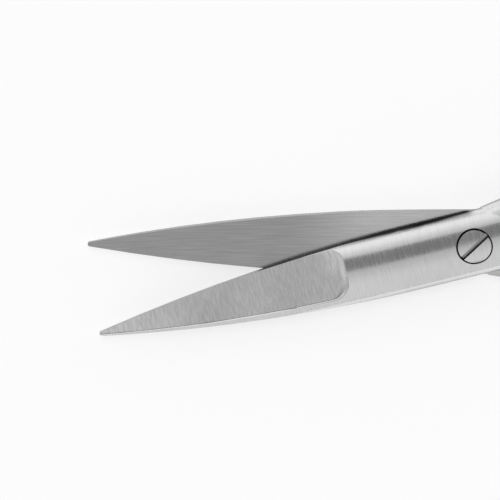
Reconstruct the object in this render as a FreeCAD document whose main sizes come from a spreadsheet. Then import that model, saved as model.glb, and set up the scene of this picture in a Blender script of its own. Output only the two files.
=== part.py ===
"""Fine ring-handled surgical scissors, straight, with two sharp points, 115 mm long.

Two steel halves, each forged in one piece from the point of the blade to the finger
ring, turn about a slotted screw. The lower half is the upper one turned over.

The origin is on the axis of the screw, in the plane that the scissors lie on. +X runs
along the closed scissors towards the rings and +Z runs up through the screw head.
"""
import FreeCAD, Part

import math
import os

import Sketcher
from FreeCAD import Matrix, Placement, Rotation, Vector

SIZES = {
    "pivot_to_tip": 37.0,
    "pivot_to_ring_end": 78.0,
    "half_opening": 6.865,
    # Joint: two equal half laps
    "joint_width": 6.25,
    "joint_thickness": 4.26,
    "crown_side_room": 0.075,
    "crown_half_height": 2.0,
    "lap_radius": 5.6,
    "lap_clearance": 0.15,
    "closed_gap": 0.3,
    # Blade
    "tip_radius": 0.21,
    "side_curve_radius": 182.0,
    "crown_fall_angle": 3.69,
    "crown_fall_start": 8.9,
    "crown_fall_bend": 60.0,
    # Ground flat on the outside of the blade
    "flat_end": 12.4,
    "flat_height": 1.209,
    "flat_lean_angle": 5.0,
    "flat_fall_angle": 2.02,
    "flat_half_width": 2.1,
    "flat_side_radius": 159.0,
    "flat_back_corner": 1.9,
    "flat_edge_corner": 2.9,
    "flat_edge_corner_place": 1.56,
    "flat_cove_radius": 0.9,
    "flat_side_cove_radius": 0.2,
    "lap_end_round": 0.5,
    # Shank: thickest at its neck, behind the lap, its root inside the lap
    "shank_root_place": 1.4,
    "neck_place": 9.5,
    "neck_diameter": 3.9,
    "neck_curve_radius": 45.0,
    "shank_end_diameter": 2.9,
    # Finger ring: an oval of four arcs, in a rounded section
    "ring_inner_length": 22.0,
    "ring_inner_width": 17.6,
    "ring_end_radius": 7.35,
    "ring_section_width": 2.9,
    "ring_section_height": 3.4,
    "ring_tilt_angle": 6.0,
    "ring_foot_angle": 236.0,
    # Screw and its holes
    "screw_head_diameter": 3.2,
    "screw_head_gap": 0.12,
    "screw_seat_height": 0.95,
    "screw_shaft_diameter": 2.0,
    "pivot_clearance": 0.02,
    "thread_clearance": 0.01,
    "seat_clearance": 0.03,
    "slot_width": 0.43,
    "slot_depth": 0.55,
    "slot_angle": 37.0,
    "screw_end_chamfer": 0.08,
}


def fill_sheet(doc):
    """Put every driving size in a cell of its own, with its name as the alias."""
    sheet = doc.addObject("Spreadsheet::Sheet", "Sizes")
    for row, (name, value) in enumerate(SIZES.items(), start=1):
        sheet.set(f"A{row}", name)
        sheet.set(f"B{row}", str(value))
        sheet.setAlias(f"B{row}", name)
    doc.recompute()
    return sheet


def bind(obj, **formulas):
    """Tie properties of an object to formulas of the sheet."""
    for prop, formula in formulas.items():
        obj.setExpression(prop, formula)


class Outline:
    """A sketch on a plane parallel to XY, with constraints that follow the sheet."""

    def __init__(self, doc, name):
        self.sketch = doc.addObject("Sketcher::SketchObject", name)

    def line(self, start, end):
        return self.sketch.addGeometry(
            Part.LineSegment(Vector(*start, 0), Vector(*end, 0)), False
        )

    def arc(self, centre, radius, first_angle, last_angle):
        circle = Part.Circle(Vector(*centre, 0), Vector(0, 0, 1), radius)
        angles = math.radians(first_angle), math.radians(last_angle)
        return self.sketch.addGeometry(Part.ArcOfCircle(circle, *angles), False)

    def tie(self, *words):
        return self.sketch.addConstraint(Sketcher.Constraint(*words))

    def size(self, formula, *words):
        """Add a constraint with a size, tied to a formula."""
        index = self.tie(*words)
        self.sketch.setExpression(f"Constraints[{index}]", formula)


def blade_outline(doc, sizes, name):
    """The joint's parallel sides and round end, and the blade's long curves to the tip."""
    half = sizes.joint_width / 2
    tip_centre = sizes.tip_radius - sizes.pivot_to_tip
    side = sizes.side_curve_radius
    # The side curve touches the parallel side and the round of the tip
    reach = math.sqrt((side - sizes.tip_radius) ** 2 - (side - half) ** 2)
    curve_start = tip_centre + reach
    turn = math.degrees(math.asin(reach / (side - sizes.tip_radius)))
    lap_corner = math.sqrt(sizes.lap_radius**2 - half**2)
    lap_turn = math.degrees(math.asin(half / sizes.lap_radius))

    out = Outline(doc, name)
    end = out.arc((0, 0), sizes.lap_radius, -lap_turn, lap_turn)
    upper = out.line((lap_corner, half), (curve_start, half))
    upper_curve = out.arc((curve_start, half - side), side, 90, 90 + turn)
    tip = out.arc((tip_centre, 0), sizes.tip_radius, 90 + turn, 270 - turn)
    lower_curve = out.arc((curve_start, side - half), side, 270 - turn, 270)
    lower = out.line((curve_start, -half), (lap_corner, -half))
    out.tie("Coincident", end, 3, -1, 1)
    out.tie("Coincident", end, 2, upper, 1)
    out.tie("Coincident", lower, 2, end, 1)
    out.tie("Tangent", upper, 2, upper_curve, 1)
    out.tie("Tangent", upper_curve, 2, tip, 1)
    out.tie("Tangent", tip, 2, lower_curve, 1)
    out.tie("Tangent", lower_curve, 2, lower, 1)
    out.tie("Horizontal", upper)
    out.tie("Horizontal", lower)
    out.tie("PointOnObject", tip, 3, -1)
    out.size("Sizes.lap_radius", "Radius", end, sizes.lap_radius)
    out.size("Sizes.joint_width / 2", "DistanceY", -1, 1, upper, 1, half)
    out.size("Sizes.joint_width / 2", "DistanceY", lower, 1, -1, 1, half)
    out.size("Sizes.tip_radius", "Radius", tip, sizes.tip_radius)
    out.size("Sizes.side_curve_radius", "Radius", upper_curve, side)
    out.size("Sizes.side_curve_radius", "Radius", lower_curve, side)
    reach_formula = "Sizes.pivot_to_tip - Sizes.tip_radius"
    out.size(reach_formula, "DistanceX", tip, 3, -1, 1, -tip_centre)
    return out.sketch


def flat_outline(doc, sizes, name):
    """The run of the grinding wheel over the blade, open past the edge and the tip."""
    right = -sizes.flat_end
    low = -sizes.flat_half_width
    back = sizes.flat_back_corner
    side = sizes.flat_side_radius
    lead = sizes.flat_edge_corner
    left = -sizes.pivot_to_tip - sizes.joint_width
    high = sizes.joint_width
    # The corner touches the end line and, from inside, the long side curve
    rise = math.sqrt((side - back) ** 2 - back**2)
    corner = (right - back, low + side - rise)
    lean = math.degrees(math.asin(back / (side - back)))
    turn = math.degrees(math.asin((right - left) / side))
    side_end = low + side - math.sqrt(side**2 - (right - left) ** 2)
    lead_low = sizes.flat_edge_corner_place
    lead_end = (right - lead, lead_low + lead)

    out = Outline(doc, name)
    side_curve = out.arc((right, low + side), side, 270 - turn, 270 - lean)
    corner_arc = out.arc(corner, back, 270 - lean, 360)
    end = out.line((right, corner[1]), (right, lead_low))
    lead_arc = out.arc((right - lead, lead_low), lead, 0, 90)
    top = out.line(lead_end, (left, lead_end[1]))
    far = out.line((left, lead_end[1]), (left, side_end))
    out.tie("Tangent", side_curve, 2, corner_arc, 1)
    out.tie("Tangent", corner_arc, 2, end, 1)
    out.tie("Tangent", end, 2, lead_arc, 1)
    out.tie("Tangent", lead_arc, 2, top, 1)
    out.tie("Coincident", top, 2, far, 1)
    out.tie("Coincident", far, 2, side_curve, 1)
    out.tie("Vertical", end)
    out.tie("Horizontal", top)
    out.tie("Vertical", far)
    out.size("Sizes.flat_end", "DistanceX", end, 1, -1, 1, sizes.flat_end)
    out.size("Sizes.flat_end", "DistanceX", side_curve, 3, -1, 1, sizes.flat_end)
    side_formula = "Sizes.flat_side_radius - Sizes.flat_half_width"
    out.size(side_formula, "DistanceY", -1, 1, side_curve, 3, side + low)
    out.size("Sizes.flat_side_radius", "Radius", side_curve, side)
    out.size("Sizes.flat_back_corner", "Radius", corner_arc, back)
    out.size("Sizes.flat_edge_corner", "Radius", lead_arc, lead)
    out.size("Sizes.flat_edge_corner_place", "DistanceY", -1, 1, lead_arc, 3, lead_low)
    far_formula = "Sizes.pivot_to_tip + Sizes.joint_width"
    out.size(far_formula, "DistanceX", far, 1, -1, 1, -left)
    return out.sketch


def edges_where(shape, test):
    """Numbers of the edges whose middle point passes a test."""
    found = []
    for number, edge in enumerate(shape.Edges, start=1):
        middle = edge.valueAt((edge.FirstParameter + edge.LastParameter) / 2)
        if test(middle):
            found.append(number)
    return found


def rim_rounds(shape, sizes):
    """Rounds of the wheel's lower rim: fine along the blade's back, wide at the heel."""
    fine, wide = sizes.flat_side_cove_radius, sizes.flat_cove_radius
    rounds = []
    for number, edge in enumerate(shape.Edges, start=1):
        first, last = (edge.valueAt(value) for value in edge.ParameterRange)
        if max(abs(first.z), abs(last.z)) > 1e-6:
            continue
        radius = getattr(edge.Curve, "Radius", 0)
        if math.isclose(radius, sizes.flat_side_radius):
            rounds.append((number, fine, fine))
        elif math.isclose(radius, sizes.flat_back_corner):
            ends = (fine, wide) if first.x < last.x else (wide, fine)
            rounds.append((number, *ends))
        elif min(first.x, last.x) > -sizes.pivot_to_tip:
            rounds.append((number, wide, wide))
    return rounds


def grinding_wheel(doc, sizes, name):
    """The solid that the ground flat leaves empty, with its rounded lower rim."""
    outline = flat_outline(doc, sizes, f"{name}_wheel_outline")
    block = doc.addObject("Part::Extrusion", f"{name}_wheel_block")
    block.Base = outline
    block.DirMode = "Normal"
    block.Solid = True
    bind(block, LengthFwd="Sizes.joint_thickness")
    doc.recompute()
    wheel = doc.addObject("Part::Fillet", f"{name}_wheel")
    wheel.Base = block
    wheel.Edges = rim_rounds(block.Shape, sizes)
    # The flat leans down to the cutting edge and falls towards the tip
    lean = Rotation(Vector(1, 0, 0), -sizes.flat_lean_angle)
    fall = Rotation(Vector(0, 1, 0), -sizes.flat_fall_angle)
    end = Vector(-sizes.flat_end, 0, 0)
    raised = Placement(Vector(0, 0, sizes.flat_height), Rotation())
    turned = Placement(end, Rotation()) * Placement(Vector(), fall * lean)
    wheel.Placement = raised * turned * Placement(end, Rotation()).inverse()
    doc.recompute()
    return wheel


def crown_oval(doc, name, place):
    """Upright cross-section of the half-round back."""
    oval = doc.addObject("Part::Ellipse", name)
    half_width = "Sizes.joint_width / 2 + Sizes.crown_side_room"
    bind(oval, MajorRadius=half_width, MinorRadius="Sizes.crown_half_height")
    oval.Placement = Placement(place, Rotation(Vector(1, 0, 0), 90) * Rotation(Vector(0, 1, 0), 90))
    return oval


def crown_bar(doc, sizes, name):
    """An oval bar whose top is the half-round back: level at the joint, then falling."""
    depth = sizes.joint_thickness / 2 - sizes.crown_half_height
    start = Vector(2 * sizes.lap_radius, 0, depth)
    bend_start = Vector(-sizes.crown_fall_start, 0, depth)
    fall = math.radians(sizes.crown_fall_angle)
    bend = sizes.crown_fall_bend
    bend_centre = bend_start + Vector(0, 0, -bend)
    middle = bend_centre + Vector(-math.sin(fall / 2), 0, math.cos(fall / 2)) * bend
    bend_end = bend_centre + Vector(-math.sin(fall), 0, math.cos(fall)) * bend
    run = sizes.pivot_to_tip + sizes.joint_width
    end = bend_end + Vector(-math.cos(fall), 0, -math.sin(fall)) * run
    spine = Part.Wire(
        [
            Part.LineSegment(start, bend_start).toShape(),
            Part.Arc(bend_start, middle, bend_end).toShape(),
            Part.LineSegment(bend_end, end).toShape(),
        ]
    )
    path = doc.addObject("Part::Feature", f"{name}_crown_path")
    path.Shape = spine
    oval = crown_oval(doc, f"{name}_crown_oval", start)
    bar = doc.addObject("Part::Sweep", f"{name}_crown_bar")
    bar.Sections = [oval]
    bar.Spine = (path, [f"Edge{number}" for number in (1, 2, 3)])
    bar.Solid = True
    return bar


def blade(doc, sizes, name):
    """Blade and lap: the outline under the half-round back, with the flat ground in."""
    plate = doc.addObject("Part::Extrusion", f"{name}_plate")
    plate.Base = blade_outline(doc, sizes, f"{name}_outline")
    plate.DirMode = "Normal"
    plate.Solid = True
    bind(plate, LengthFwd="Sizes.joint_thickness / 2")
    rounded = doc.addObject("Part::Common", f"{name}_rounded")
    rounded.Base = plate
    rounded.Tool = crown_bar(doc, sizes, name)
    doc.recompute()
    # The round end of the lap is eased where it would catch
    rim = edges_where(
        rounded.Shape,
        lambda at: at.x > 0 and abs(math.hypot(at.x, at.y) - sizes.lap_radius) < 1e-3
        and at.z > sizes.joint_thickness / 4,
    )
    eased = doc.addObject("Part::Fillet", f"{name}_eased")
    eased.Base = rounded
    eased.Edges = [(number, sizes.lap_end_round, sizes.lap_end_round) for number in rim]
    ground = doc.addObject("Part::Cut", f"{name}_ground")
    ground.Base = eased
    ground.Tool = grinding_wheel(doc, sizes, name)
    return ground


def across(place, heading):
    """Placement of an upright cross-section at a place, facing along a heading."""
    forward = Vector(math.cos(heading), math.sin(heading), 0)
    upright = Vector(0, 0, 1)
    sideways = forward.cross(upright)
    turn = Matrix(
        upright.x, sideways.x, forward.x, 0,
        upright.y, sideways.y, forward.y, 0,
        upright.z, sideways.z, forward.z, 0,
        0, 0, 0, 1,
    )
    return Placement(place, Rotation(turn))


class Ring:
    """Centre line of the finger ring: an oval that leans out towards its back end."""

    def __init__(self, sizes):
        wall = sizes.ring_section_width / 2
        self.end_radius = sizes.ring_end_radius + wall
        self.end_centre = sizes.ring_inner_length / 2 - sizes.ring_end_radius
        half_width = sizes.ring_inner_width / 2 + wall
        # The side arc touches both end arcs
        self.side_radius = (
            self.end_centre**2 + half_width**2 - self.end_radius**2
        ) / (2 * (half_width - self.end_radius))
        self.side_centre = self.side_radius - half_width
        self.tilt = math.radians(sizes.ring_tilt_angle)
        self.end_turn = math.degrees(math.atan2(self.side_centre, self.end_centre))
        along = self.end_centre * math.cos(self.tilt) + self.end_radius
        sideways = self.side_radius - self.side_centre * math.cos(self.tilt)
        self.place = Placement(
            Vector(
                sizes.pivot_to_ring_end - along - wall,
                sideways + wall + sizes.closed_gap / 2,
                0,
            ),
            Rotation(Vector(0, 0, 1), sizes.ring_tilt_angle),
        )
        foot = math.radians(sizes.ring_foot_angle)
        self.foot = self.place.multVec(
            Vector(
                self.side_radius * math.cos(foot),
                self.side_centre + self.side_radius * math.sin(foot),
                0,
            )
        )

    def path(self, doc, name):
        """Sketch of the oval, its arcs in order from the back end."""
        out = Outline(doc, name)
        turn = self.end_turn
        far = self.end_centre
        side = self.side_centre
        back = out.arc((far, 0), self.end_radius, -turn, turn)
        outer = out.arc((0, -side), self.side_radius, turn, 180 - turn)
        front = out.arc((-far, 0), self.end_radius, 180 - turn, 180 + turn)
        inner = out.arc((0, side), self.side_radius, 180 + turn, 360 - turn)
        arcs = [back, outer, front, inner]
        for arc, following in zip(arcs, arcs[1:] + arcs[:1]):
            out.tie("Tangent", arc, 2, following, 1)
        out.tie("PointOnObject", back, 3, -1)
        out.tie("PointOnObject", front, 3, -1)
        centre = "Sizes.ring_inner_length / 2 - Sizes.ring_end_radius"
        end = "Sizes.ring_end_radius + Sizes.ring_section_width / 2"
        width = "((Sizes.ring_inner_width + Sizes.ring_section_width) / 2)"
        radius = f"(({centre}) ^ 2 + {width} ^ 2 - ({end}) ^ 2) / (2 * ({width} - ({end})))"
        out.size(centre, "DistanceX", -1, 1, back, 3, far)
        out.size(centre, "DistanceX", front, 3, -1, 1, far)
        out.size(end, "Radius", back, self.end_radius)
        out.size(end, "Radius", front, self.end_radius)
        out.size(radius, "Radius", outer, self.side_radius)
        out.size(radius, "Radius", inner, self.side_radius)
        return out.sketch


def finger_ring(doc, ring, name):
    """Closed ring of an oval section, swept round the oval."""
    turn = math.radians(ring.end_turn)
    start = Vector(ring.end_centre + ring.end_radius * math.cos(turn), 0, 0)
    start.y = -ring.end_radius * math.sin(turn)
    section = doc.addObject("Part::Ellipse", f"{name}_ring_section")
    bind(
        section,
        MajorRadius="Sizes.ring_section_height / 2",
        MinorRadius="Sizes.ring_section_width / 2",
    )
    section.Placement = across(start, math.pi / 2 - turn)
    solid = doc.addObject("Part::Sweep", f"{name}_ring")
    solid.Sections = [section]
    solid.Spine = (ring.path(doc, f"{name}_ring_path"), [f"Edge{n}" for n in range(1, 5)])
    solid.Solid = True
    solid.Placement = ring.place
    return solid


def shank(doc, sizes, ring, name):
    """Round shank, turned about its own line from inside the lap to the finger ring."""
    neck_radius = sizes.neck_diameter / 2
    neck = Vector(sizes.neck_place, sizes.closed_gap / 2 + neck_radius, 0)
    line = ring.foot - neck
    heading = math.atan2(line.y, line.x)
    flare = sizes.neck_place - sizes.shank_root_place
    root = neck - line.normalize() * flare
    length = flare + (ring.foot - neck).Length
    end_radius = sizes.shank_end_diameter / 2
    taper = math.atan2(neck_radius - end_radius, length - flare)
    curve = sizes.neck_curve_radius
    centre = (flare - curve * math.sin(taper), neck_radius - curve * math.cos(taper))
    root_turn = math.acos(-centre[0] / curve)
    root_radius = centre[1] + curve * math.sin(root_turn)

    out = Outline(doc, f"{name}_shank_profile")
    arc = out.arc(centre, curve, 90 - math.degrees(taper), math.degrees(root_turn))
    front = out.line((0, root_radius), (0, 0))
    axis = out.line((0, 0), (length, 0))
    back = out.line((length, 0), (length, end_radius))
    side = out.line((length, end_radius), (flare, neck_radius))
    out.tie("Coincident", arc, 2, front, 1)
    out.tie("Coincident", front, 2, axis, 1)
    out.tie("Coincident", axis, 2, back, 1)
    out.tie("Coincident", back, 2, side, 1)
    out.tie("Tangent", side, 2, arc, 1)
    out.tie("Coincident", axis, 1, -1, 1)
    out.tie("Horizontal", axis)
    out.tie("Vertical", front)
    out.tie("Vertical", back)
    out.tie("DistanceX", axis, length)
    flare_formula = "Sizes.neck_place - Sizes.shank_root_place"
    out.size(flare_formula, "DistanceX", -1, 1, side, 2, flare)
    out.size("Sizes.neck_diameter / 2", "DistanceY", -1, 1, side, 2, neck_radius)
    out.size("Sizes.shank_end_diameter / 2", "DistanceY", -1, 1, side, 1, end_radius)
    out.size("Sizes.neck_curve_radius", "Radius", arc, curve)
    turned = doc.addObject("Part::Revolution", f"{name}_shank")
    turned.Source = out.sketch
    turned.Axis = Vector(1, 0, 0)
    turned.Solid = True
    turned.Placement = Placement(root, Rotation(Vector(0, 0, 1), math.degrees(heading)))
    return turned


def upright_hole(doc, name, radius, start, length):
    """Round cutter on the pivot axis, its sizes tied to formulas."""
    cutter = doc.addObject("Part::Cylinder", name)
    bind(cutter, Radius=radius, Height=length)
    cutter.setExpression("Placement.Base.z", start)
    return cutter


def half(doc, sizes, label, holes):
    """One forged half, its blade along -X and the parting plane at its underside."""
    ring = Ring(sizes)
    forging = doc.addObject("Part::MultiFuse", f"{label}_forging")
    forging.Shapes = [
        blade(doc, sizes, label),
        shank(doc, sizes, ring, label),
        finger_ring(doc, ring, label),
    ]
    recess = upright_hole(
        doc,
        f"{label}_lap_recess",
        "Sizes.lap_radius + Sizes.lap_clearance",
        "-Sizes.joint_thickness",
        "Sizes.joint_thickness",
    )
    cutters = doc.addObject("Part::MultiFuse", f"{label}_cutters")
    cutters.Shapes = [recess] + holes
    finished = doc.addObject("Part::Cut", label)
    finished.Base = forging
    finished.Tool = cutters
    finished.Label = label
    return finished


def upper_half(doc, sizes):
    """The half that carries the screw head in a round seat."""
    bore = upright_hole(
        doc,
        "pivot_bore",
        "Sizes.screw_shaft_diameter / 2 + Sizes.pivot_clearance",
        "-Sizes.joint_thickness / 2",
        "Sizes.joint_thickness * 2",
    )
    seat = upright_hole(
        doc,
        "head_seat",
        "Sizes.screw_head_diameter / 2 + Sizes.screw_head_gap",
        "Sizes.screw_seat_height",
        "Sizes.joint_thickness",
    )
    part = half(doc, sizes, "upper_half", [bore, seat])
    lift = Vector(0, 0, sizes.joint_thickness / 2)
    part.Placement = Placement(lift, Rotation(Vector(0, 0, 1), sizes.half_opening))
    return part


def lower_half(doc, sizes):
    """The same form turned over, with the tapped hole for the screw."""
    tapped = upright_hole(
        doc,
        "tapped_hole",
        "Sizes.screw_shaft_diameter / 2 + Sizes.thread_clearance",
        "-Sizes.joint_thickness / 2",
        "Sizes.joint_thickness * 2",
    )
    part = half(doc, sizes, "lower_half", [tapped])
    lift = Vector(0, 0, sizes.joint_thickness / 2)
    opened = Rotation(Vector(0, 0, 1), -sizes.half_opening)
    part.Placement = Placement(lift, opened * Rotation(Vector(1, 0, 0), 180))
    return part


def pivot_screw(doc, sizes):
    """Slotted screw, its head ground to the half-round back and its end ground flush."""
    body = doc.addObject("PartDesign::Body", "screw_body")
    planes = {item.Role: item for item in body.Origin.OriginFeatures}
    profile = body.newObject("Sketcher::SketchObject", "screw_profile")
    profile.AttachmentSupport = [(planes["XZ_Plane"], "")]
    profile.MapMode = "FlatFace"
    shaft = sizes.screw_shaft_diameter / 2
    head = sizes.screw_head_diameter / 2
    under = sizes.joint_thickness / 2 + sizes.screw_seat_height + sizes.seat_clearance
    top = sizes.joint_thickness
    chamfer = sizes.screw_end_chamfer
    corners = [
        (0, 0),
        (shaft - chamfer, 0),
        (shaft, chamfer),
        (shaft, under),
        (head, under),
        (head, top),
        (0, top),
    ]
    for start, end in zip(corners, corners[1:] + corners[:1]):
        profile.addGeometry(Part.LineSegment(Vector(*start, 0), Vector(*end, 0)), False)
    last = len(corners) - 1
    for side in range(last):
        profile.addConstraint(Sketcher.Constraint("Coincident", side, 2, side + 1, 1))
    profile.addConstraint(Sketcher.Constraint("Coincident", last, 2, 0, 1))
    profile.addConstraint(Sketcher.Constraint("Coincident", 0, 1, -1, 1))
    for side in (0, 3, 5):
        profile.addConstraint(Sketcher.Constraint("Horizontal", side))
    for side in (2, 4, 6):
        profile.addConstraint(Sketcher.Constraint("Vertical", side))
    under_formula = (
        "Sizes.joint_thickness / 2 + Sizes.screw_seat_height + Sizes.seat_clearance"
    )
    drawn = [
        ("DistanceX", 2, shaft, "Sizes.screw_shaft_diameter / 2"),
        ("DistanceX", 4, head, "Sizes.screw_head_diameter / 2"),
        ("DistanceY", 3, under, under_formula),
        ("DistanceY", 5, top, "Sizes.joint_thickness"),
        ("DistanceY", 2, chamfer, "Sizes.screw_end_chamfer"),
    ]
    for kind, side, value, formula in drawn:
        index = profile.addConstraint(Sketcher.Constraint(kind, -1, 1, side, 1, value))
        profile.setExpression(f"Constraints[{index}]", formula)
    index = profile.addConstraint(
        Sketcher.Constraint("DistanceX", -1, 1, 0, 2, shaft - chamfer)
    )
    profile.setExpression(
        f"Constraints[{index}]", "Sizes.screw_shaft_diameter / 2 - Sizes.screw_end_chamfer"
    )
    turned = body.newObject("PartDesign::Revolution", "screw_turned")
    turned.Profile = profile
    turned.ReferenceAxis = (profile, ["V_Axis"])
    turned.Angle = 360
    body.Tip = turned
    doc.recompute()

    # The head's top is cut by the same half-round back as the upper half
    crown = doc.addObject("Part::Extrusion", "screw_crown")
    crown.Base = crown_oval(doc, "screw_crown_oval", Vector(-2 * sizes.lap_radius, 0, 0))
    crown.DirMode = "Normal"
    crown.Solid = True
    bind(crown, LengthFwd="4 * Sizes.lap_radius")
    crown_middle = sizes.joint_thickness - sizes.crown_half_height
    crown.Placement = Placement(
        Vector(0, 0, crown_middle), Rotation(Vector(0, 0, 1), sizes.half_opening)
    )
    below = upright_hole(
        doc,
        "screw_below_crown",
        "Sizes.screw_head_diameter",
        "0",
        "Sizes.joint_thickness - Sizes.crown_half_height",
    )
    kept = doc.addObject("Part::MultiFuse", "screw_room")
    kept.Shapes = [crown, below]
    crowned = doc.addObject("Part::Common", "screw_crowned")
    crowned.Base = body
    crowned.Tool = kept

    slot = doc.addObject("Part::Box", "driver_slot")
    bind(
        slot,
        Length="2 * Sizes.screw_head_diameter",
        Width="Sizes.slot_width",
        Height="Sizes.joint_thickness",
    )
    centred = Placement(
        Vector(-sizes.screw_head_diameter, -sizes.slot_width / 2, 0), Rotation()
    )
    turned_place = Placement(
        Vector(0, 0, sizes.joint_thickness - sizes.slot_depth),
        Rotation(Vector(0, 0, 1), sizes.slot_angle),
    )
    slot.Placement = turned_place * centred
    screw = doc.addObject("Part::Cut", "pivot_screw")
    screw.Base = crowned
    screw.Tool = slot
    return screw


def check(doc, parts):
    """Stop where a feature failed or a part isn't one good solid."""
    for obj in doc.Objects:
        if "Invalid" in obj.State or "Error" in obj.State:
            raise RuntimeError(f"{obj.Label} failed: {obj.State}")
    for part in parts:
        shape = part.Shape
        if shape.isNull() or not shape.isValid() or len(shape.Solids) != 1:
            raise RuntimeError(f"{part.Label} isn't one valid solid")
        box = shape.BoundBox
        print(
            f"{part.Label}: {shape.Volume:.2f} mm3,"
            f" x {box.XMin:.2f} to {box.XMax:.2f},"
            f" y {box.YMin:.2f} to {box.YMax:.2f},"
            f" z {box.ZMin:.2f} to {box.ZMax:.2f}"
        )


def main():
    doc = FreeCAD.newDocument("fine_scissors")
    sizes = fill_sheet(doc)
    parts = [upper_half(doc, sizes), lower_half(doc, sizes), pivot_screw(doc, sizes)]
    doc.recompute()
    check(doc, parts)
    os.makedirs("parts", exist_ok=True)
    for part in parts:
        part.Shape.exportStep(os.path.join("parts", f"{part.Label}.step"))


main()
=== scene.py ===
"""Looks, light and camera for a pair of fine ring-handled scissors in ground steel."""

from __future__ import annotations

import logging
import math
from dataclasses import dataclass
from enum import Enum

import bpy
from mathutils import Matrix, Vector


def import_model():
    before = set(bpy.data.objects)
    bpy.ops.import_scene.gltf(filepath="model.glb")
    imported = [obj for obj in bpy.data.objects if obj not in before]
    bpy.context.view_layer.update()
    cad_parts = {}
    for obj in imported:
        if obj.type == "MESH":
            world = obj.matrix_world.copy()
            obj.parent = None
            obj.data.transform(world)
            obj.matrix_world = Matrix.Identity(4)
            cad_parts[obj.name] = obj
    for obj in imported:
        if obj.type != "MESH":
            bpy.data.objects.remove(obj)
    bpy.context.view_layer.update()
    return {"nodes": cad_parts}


log = logging.getLogger("scissors")

MM = 0.001
PARTING_MM = 2.13
REST_OPENING_DEG = 13.73
HEAD_RADIUS_MM = 1.6
HEAD_GAP_MM = 0.12
THREAD_BORE_RADIUS_MM = 1.01

Socket = bpy.types.NodeSocket
Value = float | Socket
Span = tuple[float, float]
Numbers = tuple[float, float, float]
Triple = Numbers | Vector | Socket
Parts = dict[str, bpy.types.Object]


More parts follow.
